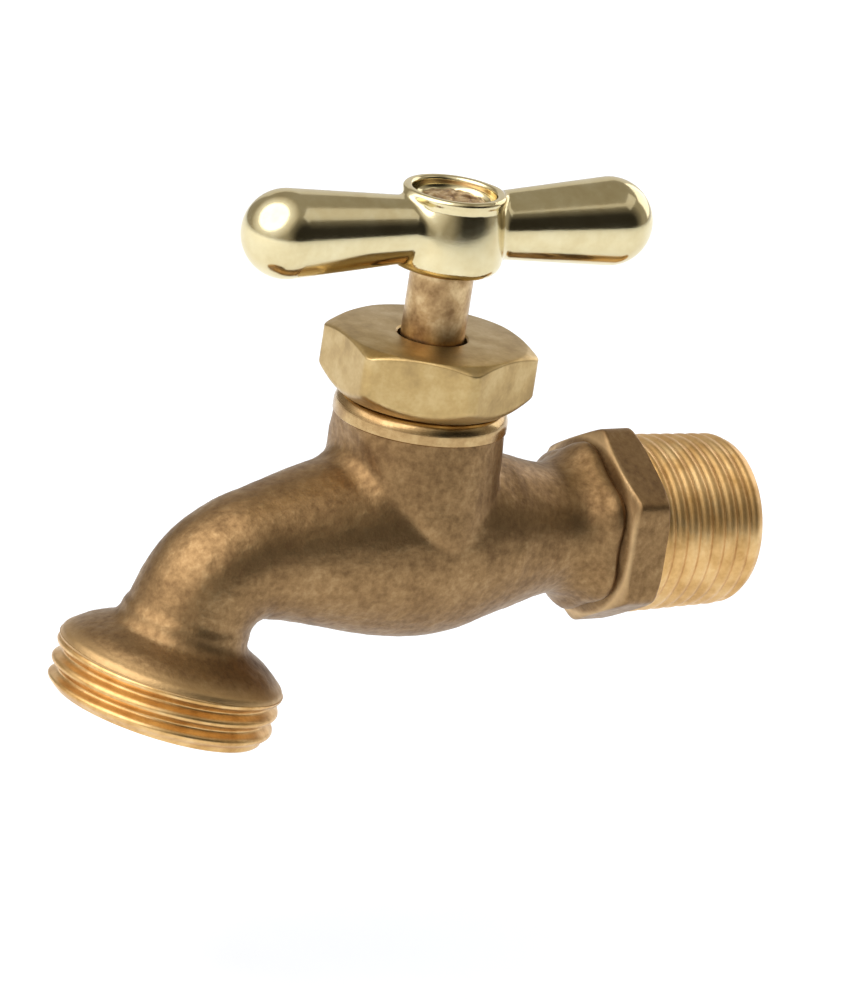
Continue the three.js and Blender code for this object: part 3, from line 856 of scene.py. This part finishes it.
def hexagonal(levels, apothem, corner_rounding, edge_rounding, count=216, turn=0.0):
    """A hexagonal bar whose ends are turned round: levels are (height, turned radius)."""
    angle = warped_turns(count)
    height, limit = np.array(levels, float).T[:, :, None]
    flat = hexagon_radius(angle[None, :], apothem, corner_rounding)
    radius = smooth_min(flat, limit, edge_rounding)
    points = np.stack([
        radius * np.cos(angle + turn), radius * np.sin(angle + turn),
        np.repeat(height, count, axis=1)], axis=-1)
    return points.reshape(-1, 3), tube_faces(len(levels), count)


def wrench_hexagon():
    """Turned to a cone at the casting's end and rounded over at the thread's."""
    start, end = HEX_START, HEX_END
    steepness, end_round = 2.2, 0.6
    cone = [(start + rise, HEX_CONE_R + steepness * rise) for rise in np.linspace(-1.0, 1.1, 22)]
    levels = [(height, smooth_min(radius, HEX_ROUND_R, 0.5)) for height, radius in cone]
    levels += [(height, HEX_ROUND_R) for height in np.linspace(start + 1.5, end - 0.9, 5)]
    levels += [(end - end_round + rise, HEX_ROUND_R - steepness * rise * rise)
               for rise in np.linspace(0.1, end_round, 7)]
    shape = hexagonal(levels, HEX_APOTHEM, 0.7, 0.7, turn=math.pi / 2)
    return body_piece("wrench_hexagon", shape, matrix=ALONG_INLET)


def collar():
    """The neck's turned collar, whose upper half is rounded in towards the nut."""
    edge, crown, steepest = 0.15, 1.9, 52
    middle = COLLAR_TOP - crown * math.sin(math.radians(steepest))
    profile = [(0, COLLAR_BOTTOM), (COLLAR_R - edge, COLLAR_BOTTOM), (COLLAR_R, COLLAR_BOTTOM + edge),
               *arc((COLLAR_R - crown, middle), crown, 0, steepest, 12), (0, COLLAR_TOP)]
    return body_piece("collar", turned(profile, 160), offset=ON_NECK)


def neck_thread():
    """The thread that the packing nut is screwed on."""
    def blank(height):
        crest = np.full_like(height, NECK_CREST_R)
        return crest, smooth_min(crest, NECK_CREST_R - 0.5 + (NECK_TOP - height) * 1.0, 0.1)

    low = COLLAR_TOP - 0.3
    shape = threaded(blank, NECK_PITCH, NECK_THREAD_DEPTH, 0.2, 0.3, low, NECK_TOP, 96, 8, 0.06)
    return body_piece("neck_thread", shape, offset=ON_NECK)


def swept(stations, sides=48):
    """A tube whose sections stand square to a path in the middle plane."""
    rows = curve_through([[*place, wide, high] for place, wide, high in stations], 5)
    tangent = np.gradient(rows[:, :2], axis=0)
    tangent /= np.linalg.norm(tangent, axis=1)[:, None]
    angle = np.linspace(0, 2 * math.pi, sides, endpoint=False)
    side = rows[:, 2:3] * np.cos(angle)
    up = rows[:, 3:4] * np.sin(angle)
    points = np.stack([
        side, rows[:, 0:1] + up * tangent[:, 1:2], rows[:, 1:2] - up * tangent[:, 0:1]], axis=-1)
    return points.reshape(-1, 3), tube_faces(len(rows), sides)


def hollows():
    """What is drilled, cored and bored out of the casting."""
    reach, bore_r, mouth_r = INLET_REACH, INLET_BORE_R, HOSE_MOUTH_R
    bore = [(0, 10.3), (3.4, 10.6), (5.2, 12.2), (5.6, 14), (5.6, 24), (bore_r, 31), (bore_r, reach - 0.6),
            (bore_r + 0.7, reach + 0.1), (bore_r + 0.7, reach + 2), (0, reach + 2)]
    yield body_piece("inlet_bore", turned(bore, 96), matrix=ALONG_INLET)
    mouth = [(0, -2), (mouth_r + 0.5, -2), (mouth_r + 0.5, -0.1), (mouth_r, 0.4), (mouth_r, 4.5),
             (mouth_r - 0.4, 4.9), (5.9, 8.6), (5.3, 9.6), (5.3, 11.2), (0, 11.2)]
    yield body_piece("outlet_mouth", turned(mouth, 128), matrix=AT_OUTLET, offset=ON_OUTLET)
    lower = [((17.0, 0.0), 4.8, 4.8), ((12.0, -2.6), 5.4, 4.2), ((7.4, -5.3), 6.0, 3.5),
             ((2.0, -6.4), 6.2, 3.2), ((-4.6, -6.4), 5.4, 3.0)]
    yield body_piece("lower_passage", swept(lower))
    spout = [((-3.0, 3.9), 4.2, 4.0), ((-8.0, 2.2), 4.8, 4.6), ((-13.0, 0.5), 5.3, 5.2),
             ((-18.1, -1.0), 5.4, 5.4), ((-21.9, -1.9), 5.3, 5.3), ((-25.3, -4.3), 5.2, 5.2),
             (on_outlet_axis(11.5), 5.2, 5.2), (on_outlet_axis(7.5), 5.25, 5.25)]
    yield body_piece("spout_passage", swept(spout))
    orifice = [(0, -6.5), (SEAT_ORIFICE_R, -6.5), (SEAT_ORIFICE_R, SEAT_LIP_TOP - 0.25),
               (SEAT_ORIFICE_R + 0.25, SEAT_LIP_TOP + 0.05), (SEAT_ORIFICE_R + 0.25, 3.0), (0, 3.0)]
    yield body_piece("seat_orifice", turned(orifice, 64), offset=ON_NECK)
    chamber = [(0, SEAT_LIP_TOP), (SEAT_LIP_R - 0.2, SEAT_LIP_TOP), (SEAT_LIP_R, SEAT_LIP_TOP - 0.2),
               (SEAT_LIP_R + 0.1, SEAT_FLOOR), (CHAMBER_R - 0.4, SEAT_FLOOR), (CHAMBER_R, SEAT_FLOOR + 0.4),
               (CHAMBER_R, CHAMBER_TOP - 0.4), (CHAMBER_R - 0.4, CHAMBER_TOP), (0, CHAMBER_TOP)]
    yield body_piece("chamber", turned(chamber, 64), offset=ON_NECK)
    box = [(0, STUFFING_BOX_FLOOR - 0.8), (STEM_BORE_R + 0.2, STUFFING_BOX_FLOOR - 0.4),
           (STUFFING_BOX_R, STUFFING_BOX_FLOOR), (STUFFING_BOX_R, NECK_TOP - 0.3),
           (STUFFING_BOX_R + 0.3, NECK_TOP + 0.05), (STUFFING_BOX_R + 0.3, NECK_TOP + 1), (0, NECK_TOP + 1)]
    yield body_piece("stuffing_box", turned(box, 96), offset=ON_NECK)
    bore = threaded(straight_blank(STEM_CREST_R + 0.3), STEM_PITCH, STEM_THREAD_DEPTH, 1.0, 0.8,
                    CHAMBER_TOP - 0.9, STUFFING_BOX_FLOOR - 0.5, 64, 8, 0.1)
    yield body_piece("stem_bore", bore, offset=ON_NECK)


def valve_body():
    """The casting with everything that is machined on it and cut from it."""
    body = body_piece("valve_body_casting", rough_casting())
    parts = [wrench_hexagon(), inlet_thread(), hose_thread(), shoulder_roll(), collar(), neck_thread()]
    cut_or_join(body, parts, "UNION")
    cut_or_join(body, list(hollows()), "DIFFERENCE")
    finish_shading(body.data, 42)
    return ready(body, "valve", "cast_brass", "valve_body")


# ---------------------------------------------------------------- nut and packing


def packing_nut():
    """Its corners are turned off to cones, a long one below and a short one above."""
    low, high = NUT_BOTTOM, NUT_TOP
    full = NUT_APOTHEM / math.cos(math.pi / 6) + 0.3
    lower, upper = 2.3, 0.9
    levels = [(low + rise, NUT_SKIRT_R + rise * (full - NUT_SKIRT_R) / lower)
              for rise in np.linspace(0.05, lower, 26)]
    levels += [(height, full) for height in np.linspace(low + lower + 0.2, high - upper - 0.2, 8)]
    levels += [(high - fall, NUT_CROWN_R + fall * (full - NUT_CROWN_R) / upper)
               for fall in np.linspace(upper, 0.08, 22)]
    levels = [(low, NUT_SKIRT_R - 0.05), *levels, (high, NUT_CROWN_R - 0.1)]
    shape = hexagonal(levels, NUT_APOTHEM + 0.1, 1.0, 0.6, 240, NUT_TURN)
    nut = new_piece("packing_nut_brass", shape, NUT_BRASS)
    edge = 0.2
    hole = [(0, NUT_ROOF - 1), (NUT_HOLE_R, NUT_ROOF - 1), (NUT_HOLE_R, high - edge),
            (NUT_HOLE_R + edge, high), (NUT_HOLE_R + edge, high + 1), (0, high + 1)]
    bore = threaded(straight_blank(NECK_CREST_R + 0.35), NECK_PITCH, NECK_THREAD_DEPTH, 0.45, 0.3,
                    low - 1, NUT_ROOF - 0.2, 96, 8, 0.06)
    roof = [(0, NUT_ROOF - 1.2), (NECK_CREST_R + 0.3, NUT_ROOF - 1.2), (NECK_CREST_R + 0.3, NUT_ROOF - 0.1),
            (NECK_CREST_R + 0.2, NUT_ROOF), (0, NUT_ROOF)]
    cut_or_join(nut, [
        new_piece("nut_hole", turned(hole, 96), NUT_BRASS),
        new_piece("nut_bore", bore, NUT_BRASS),
        new_piece("nut_roof", turned(roof, 96), NUT_BRASS)], "DIFFERENCE")
    finish_shading(nut.data, 35)
    return ready(nut, "valve", "machined_brass", "packing_nut")


def flat_ring(inner, outer, bottom, top, edge):
    """The closed outline of a flat ring with rounded edges."""
    corners = [(outer - edge, bottom + edge, -90), (outer - edge, top - edge, 0),
               (inner + edge, top - edge, 90), (inner + edge, bottom + edge, 180)]
    return [point for r, z, start in corners for point in arc((r, z), edge, start, start + 90, 5)]


def packing_stack():
    """Washer, two packing rings and gland, from the bottom of the stuffing box up."""
    kinds = [("packing_washer", NUT_BRASS, "machined_brass", 0.12),
             ("packing_ring_lower", GRAPHITE, "graphite_packing", 0.3),
             ("packing_ring_upper", GRAPHITE, "graphite_packing", 0.3),
             ("packing_gland", NUT_BRASS, "machined_brass", 0.12)]
    for place, (name, finish, slot, edge) in enumerate(kinds):
        bottom = RING_BOTTOM + place * RING_STEP
        outline = flat_ring(RING_INNER_R, RING_OUTER_R, bottom, bottom + RING_THICKNESS, edge)
        ring = new_piece(name + "_detail", turned(outline, 96, closed=True), finish)
        ready(ring, "valve", slot, name)


# ---------------------------------------------------------------- stem


def stem():
    """The foot, thread, shaft, square tang and hammered end, in one piece."""
    foot, shoulder = STEM_FOOT_TOP, 12.05
    thread_low, thread_high = 6.4, 10.9
    shaft = [(0, STEM_FOOT_BOTTOM), (STEM_FOOT_R - 0.2, STEM_FOOT_BOTTOM),
             (STEM_FOOT_R, STEM_FOOT_BOTTOM + 0.2),
             (STEM_FOOT_R, foot - 0.2), (STEM_FOOT_R - 0.2, foot), (5.2, foot), (5.2, shoulder - 0.6),
             (4.6, shoulder), (STEM_R, shoulder + 0.1), (STEM_R, 24.0), (STEM_R, 28.0), (STEM_R, 32.0),
             (STEM_R, TANG_BOTTOM - 0.3), (STEM_R - 0.25, TANG_BOTTOM), (0, TANG_BOTTOM)]
    piece = new_piece("rising_stem", turned(shaft, 128), STEM_FINISHES)

    def blank(height):
        crest = np.full_like(height, STEM_CREST_R)
        ends = np.minimum(height - thread_low, thread_high - height)
        return crest, smooth_min(crest, STEM_CREST_R - 0.6 + ends * 1.2, 0.1)

    thread = threaded(blank, STEM_PITCH, STEM_THREAD_DEPTH, 0.7, 1.2, thread_low, thread_high, 96, 12, 0.12)
    half = TANG_SIDE / 2
    bevel = 0.35
    outline = [(half, -half + bevel), (half, half - bevel), (half - bevel, half), (-half + bevel, half),
               (-half, half - bevel), (-half, -half + bevel), (-half + bevel, -half), (half - bevel, -half)]
    rows = [[(x, y, z) for x, y in outline] for z in (TANG_BOTTOM - 0.3, TANG_TOP)]
    tang = (np.array(rows).reshape(-1, 3), tube_faces(2, len(outline)))
    dome = [(0, TANG_TOP - 0.2), (PEEN_R - 0.2, TANG_TOP - 0.2), (PEEN_R, TANG_TOP), *[
        (PEEN_R * math.cos(t), TANG_TOP + 0.05 + (PEEN_TOP - TANG_TOP - 0.05) * math.sin(t))
        for t in np.radians(np.arange(6, 90, 7))], (0, PEEN_TOP)]
    cut_or_join(piece, [
        new_piece("stem_thread", thread, STEM_FINISHES),
        new_piece("tang", tang, STEM_FINISHES, matrix=Matrix.Rotation(HANDLE_TURN, 4, "Z")),
        new_piece("peen", hammered(turned(dome, 96)), STEM_FINISHES, offset=1)], "UNION")
    screw_hole = [(0, STEM_FOOT_BOTTOM - 1), (SCREW_R + 0.3, STEM_FOOT_BOTTOM - 1),
                  (SCREW_R + 0.3, STEM_FOOT_BOTTOM + 5.2), (0, STEM_FOOT_BOTTOM + 6.2)]
    cut_or_join(piece, [new_piece("screw_hole", turned(screw_hole, 48), STEM_FINISHES)], "DIFFERENCE")
    finish_shading(piece.data, 40)
    return ready(piece, "handle", "machined_brass", "stem")


def hammered(shape):
    """The dome's top points lowered here and there, as a riveting hammer leaves them."""
    points, faces = shape
    points = points.copy()
    high = points[:, 2] > TANG_TOP + 0.02
    dents = np.array([noise.fractal(Vector(p) * 0.9, 0.7, 2.0, 3) for p in points])
    points[:, 2] -= np.where(high, np.clip(dents, -1, 0.6) * 0.22 + 0.14, 0)
    points[:, 2] = np.maximum(points[:, 2], np.where(high, TANG_TOP, -1e9))
    return points, faces


# ---------------------------------------------------------------- tee handle


def hub_outline():
    """The hub's half section: widest near its foot, drawn in upwards to a rolled lip round the recess."""
    foot_round, lip_round = 1.7, 0.5
    belly_at, belly = HUB_BOTTOM + 2.0, 22.0
    low, high = HUB_BOTTOM, HUB_TOP

    def side(height):
        return HUB_R - (height - belly_at) ** 2 / (2 * belly)

    under_lip = high - 1.5
    outline = arc((side(low + foot_round) - foot_round, low + foot_round), foot_round, -90, 0, 9)
    outline += [(side(z), z) for z in np.linspace(low + foot_round + 0.2, under_lip, 30)]
    outline += [(side(under_lip) + 0.05, under_lip + 0.5)]
    outline += arc((HUB_LIP_R - lip_round, high - lip_round), lip_round, -15, 90, 8)
    return [(0, low), *outline, (0, high)]


hub_field = lathe_field(hub_outline())


def arm_field(along, up, across):
    """Signed distance to a rounded cone from the hub's middle to the arm's ball."""
    slope = (ARM_ROOT_R - ARM_BALL_R) / ARM_BALL_AT
    lean = math.sqrt(1 - slope * slope)
    out = np.hypot(up, across)
    on_slope = -slope * out + lean * along
    cone = lean * out + slope * along - ARM_ROOT_R
    ball = np.hypot(out, along - ARM_BALL_AT) - ARM_BALL_R
    root = np.hypot(out, along) - ARM_ROOT_R
    return np.where(on_slope < 0, root, np.where(on_slope > lean * ARM_BALL_AT, ball, cone))


def handle_field(points):
    """How far points are outside the handle: hub and arms, less the recess, socket and stem's hole."""
    cos, sin = math.cos(-HANDLE_TURN), math.sin(-HANDLE_TURN)
    x = cos * points[:, 0] - sin * points[:, 1]
    y = sin * points[:, 0] + cos * points[:, 1]
    up = points[:, 2] - ARM_HEIGHT
    cos, sin = math.cos(-ARM_LEAN), math.sin(-ARM_LEAN)
    along = cos * y - sin * up
    rise = sin * y + cos * up
    body = smooth_min(hub_field(points), arm_field(np.abs(along), rise, x), 1.1)
    recess = smooth_max(np.hypot(x, y) - HUB_RECESS_R, HUB_RECESS_FLOOR - points[:, 2], 1.2)
    socket = np.maximum(np.abs(x), np.abs(y)) - TANG_SIDE / 2 - 0.15
    below = np.maximum(np.hypot(x, y) - STEM_R - 0.15, points[:, 2] - TANG_BOTTOM - 0.3)
    return smooth_max(smooth_max(body, -recess, 0.5), -np.minimum(socket, below), 0.15)


def tee_handle():
    """The handle's mesh takes its normals from the field, so that its reflections run true."""
    reach = ARM_BALL_AT + ARM_BALL_R + 0.8
    low = (-HUB_R - 1.0, -reach, ARM_HEIGHT - ARM_BALL_R - 1.5)
    high = (HUB_R + 1.0, reach, ARM_HEIGHT + ARM_BALL_R + 1.2)
    points, faces = skin_of(handle_field, low, high, 0.24)
    slope = slope_of(handle_field, points, 0.1)
    handle = new_piece("tee_handle_polished", (points, faces), POLISHED, sharp=70)
    if len(handle.data.vertices) == len(points):
        normals = slope / np.linalg.norm(slope, axis=1)[:, None]
        handle.data.normals_split_custom_set_from_vertices(normals.tolist())
    return ready(handle, "handle", "polished_brass", "tee_handle")


# ---------------------------------------------------------------- seat washer and screw


def seat_washer():
    """The rubber disc that closes on the seat."""
    top = WASHER_BOTTOM + WASHER_THICKNESS
    outline = flat_ring(WASHER_HOLE_R, WASHER_R, WASHER_BOTTOM, top, 0.35)
    washer = new_piece("seat_washer_rubber", turned(outline, 96, closed=True), RUBBER)
    return ready(washer, "seat_disc", "black_rubber", "seat_washer")


def washer_screw():
    """A slotted screw that fills its CAD node's height."""
    node_low, node_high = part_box("washer_screw")
    low, high = node_low.z / MM, node_high.z / MM
    head = low + SCREW_HEAD_HEIGHT
    profile = [(0, low), *arc((SCREW_HEAD_R - 0.5, low + 0.5), 0.5, -90, 0, 6), (SCREW_HEAD_R, head - 0.15),
               (SCREW_HEAD_R - 0.15, head), (SCREW_R + 0.15, head), (SCREW_R, head + 0.15),
               (SCREW_R, high - 0.5), (SCREW_R - 0.5, high), (0, high)]
    screw = new_piece("washer_screw_brass", turned(profile, 64), STEM_BRASS)
    half, slot_depth = 0.45, 0.7
    slot = [[(-SCREW_HEAD_R - 1, -half, z), (SCREW_HEAD_R + 1, -half, z),
             (SCREW_HEAD_R + 1, half, z), (-SCREW_HEAD_R - 1, half, z)] for z in (low - 1, low + slot_depth)]
    slot = new_piece("slot", (np.array(slot).reshape(-1, 3), tube_faces(2, 4)), STEM_BRASS)
    cut_or_join(screw, [slot], "DIFFERENCE")
    finish_shading(screw.data, 35)
    return ready(screw, "handle", "machined_brass", "washer_screw")


valve_body()
packing_nut()
packing_stack()
stem()
tee_handle()
seat_washer()
washer_screw()

# ---------------------------------------------------------------- camera

CAMERA_AZIMUTH = 55.85
CAMERA_ELEVATION = 18.24
CAMERA_ROLL = 8.93
CAMERA_DISTANCE = 808.9
CAMERA_LENS = 250.1
AIM_RIGHT, AIM_UP = 2.7207, 4.1112


def towards(azimuth, elevation):
    """The direction from the object to where a camera or light stands; azimuth 0 is -Y, 90 is +X."""
    a, e = math.radians(azimuth), math.radians(elevation)
    return Vector((math.sin(a) * math.cos(e), -math.cos(a) * math.cos(e), math.sin(e)))


def add_camera():
    """The camera at the photograph's viewing angle."""
    camera = bpy.data.objects.new("camera", bpy.data.cameras.new("camera"))
    bpy.context.scene.collection.objects.link(camera)
    back = towards(CAMERA_AZIMUTH, CAMERA_ELEVATION)
    right = Vector((0, 0, 1)).cross(back).normalized()
    up = back.cross(right)
    roll = Matrix.Rotation(math.radians(CAMERA_ROLL), 3, back)
    right, up = roll @ right, roll @ up
    aim = AIM_RIGHT * right + AIM_UP * up
    place = (aim + back * CAMERA_DISTANCE + Vector((0, STEM_Y, 0))) * MM
    camera.matrix_world = Matrix.Translation(place) @ Matrix((right, up, back)).transposed().to_4x4()
    camera.data.lens = CAMERA_LENS
    camera.data.clip_start, camera.data.clip_end = 0.05, 20
    bpy.context.scene.camera = camera
    return camera


add_camera()

# ---------------------------------------------------------------- floor and lights

OBJECT_MIDDLE = Vector((0, STEM_Y - 2, 8)) * MM
FLOOR_DROP = 30.0
ROOM_GLOW, KEY_HALO = 0.36, 1.05
ROOM_TINT = (1.0, 0.93, 0.78)
KEY_SIDE, DARK_SIDE = (0, 47), (110, 8)
FLOOR_TINT, FLOOR_GLOW = (0.65, 0.80, 1.0), 0.27


def add_floor():
    """A pale floor below the valve, which hangs in the air as it does in the photograph."""
    lowest = cad_box[0].z - FLOOR_DROP * MM
    size = 3.0
    corners = [(-size, -size, lowest), (size, -size, lowest), (size, size, lowest), (-size, size, lowest)]
    mesh = bpy.data.meshes.new("floor")
    mesh.from_pydata(corners, [], [(0, 1, 2, 3)])
    floor = bpy.data.objects.new("floor", mesh)
    bpy.context.scene.collection.objects.link(floor)
    material, tree, shader, place = start_material("pale_floor", 0.0)
    colour = ramp(tree, speckle(tree, place, 0.02), (0.3, 0.90), (0.7, 0.93))
    tree.links.new(colour, shader.inputs["Base Color"])
    shader.inputs["Roughness"].default_value = 0.9
    shader.inputs["Emission Color"].default_value = (*FLOOR_TINT, 1)
    shader.inputs["Emission Strength"].default_value = FLOOR_GLOW
    mesh.materials.append(material)
    floor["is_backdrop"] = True


def add_softbox(name, azimuth, elevation, distance, width, height, brightness, shape="RECTANGLE"):
    """A soft panel that looks as bright as brightness times white."""
    data = bpy.data.lights.new(name, "AREA")
    data.shape = shape
    data.size, data.size_y = width, height
    area = width * height * (math.pi / 4 if shape == "ELLIPSE" else 1)
    data.energy = brightness * math.pi * area
    light = bpy.data.objects.new(name, data)
    bpy.context.scene.collection.objects.link(light)
    direction = towards(azimuth, elevation)
    light.location = OBJECT_MIDDLE + direction * distance
    light.rotation_mode = "QUATERNION"
    light.rotation_quaternion = direction.to_track_quat("Z", "Y")
    light.visible_camera = False


def add_world():
    """A white room, warm and dim away from the key light and dark to one side."""
    world = bpy.data.worlds.new("studio")
    world.use_nodes = True
    tree = world.node_tree
    seen = tree.nodes["Background"]
    seen.inputs["Color"].default_value = (1, 1, 1, 1)
    direction = node(tree, "ShaderNodeTexCoord").outputs["Generated"]

    def nearness(side):
        made = node(tree, "ShaderNodeVectorMath", {0: direction, 1: towards(*side)}, operation="DOT_PRODUCT")
        return made.outputs["Value"]

    to_key = nearness(KEY_SIDE)
    glow = computed(tree, "MULTIPLY", ramp(tree, to_key, (0.5, ROOM_GLOW), (0.78, KEY_HALO)),
                    ramp(tree, nearness(DARK_SIDE), (0.66, 1.0), (0.92, 0.08)))
    warmth = ramp(tree, to_key, (0.5, ROOM_TINT), (0.78, 1.0))
    light = node(tree, "ShaderNodeBackground", {"Color": warmth, "Strength": glow})
    from_camera = node(tree, "ShaderNodeLightPath").outputs["Is Camera Ray"]
    both = node(tree, "ShaderNodeMixShader", {0: from_camera, 1: light.outputs[0], 2: seen.outputs[0]})
    tree.links.new(both.outputs[0], tree.nodes["World Output"].inputs["Surface"])
    bpy.context.scene.world = world


add_floor()
add_world()
add_softbox("key", *KEY_SIDE, 1.0, 1.4, 1.4, 1.75, "ELLIPSE")
add_softbox("top", 152, 50, 1.0, 0.7, 0.3, 0.4)
add_softbox("back", 238, 18, 1.0, 1.0, 0.6, 0.38)
add_softbox("wall", 198, 20, 1.0, 0.7, 0.6, 1.3)
bpy.context.scene.view_settings.view_transform = "Standard"

# ---------------------------------------------------------------- sizes of the CAD model and of the visual pieces

boxes = {"cad": cad_box, "visual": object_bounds()}
{name: [list(corner) for corner in box] for name, box in boxes.items()}
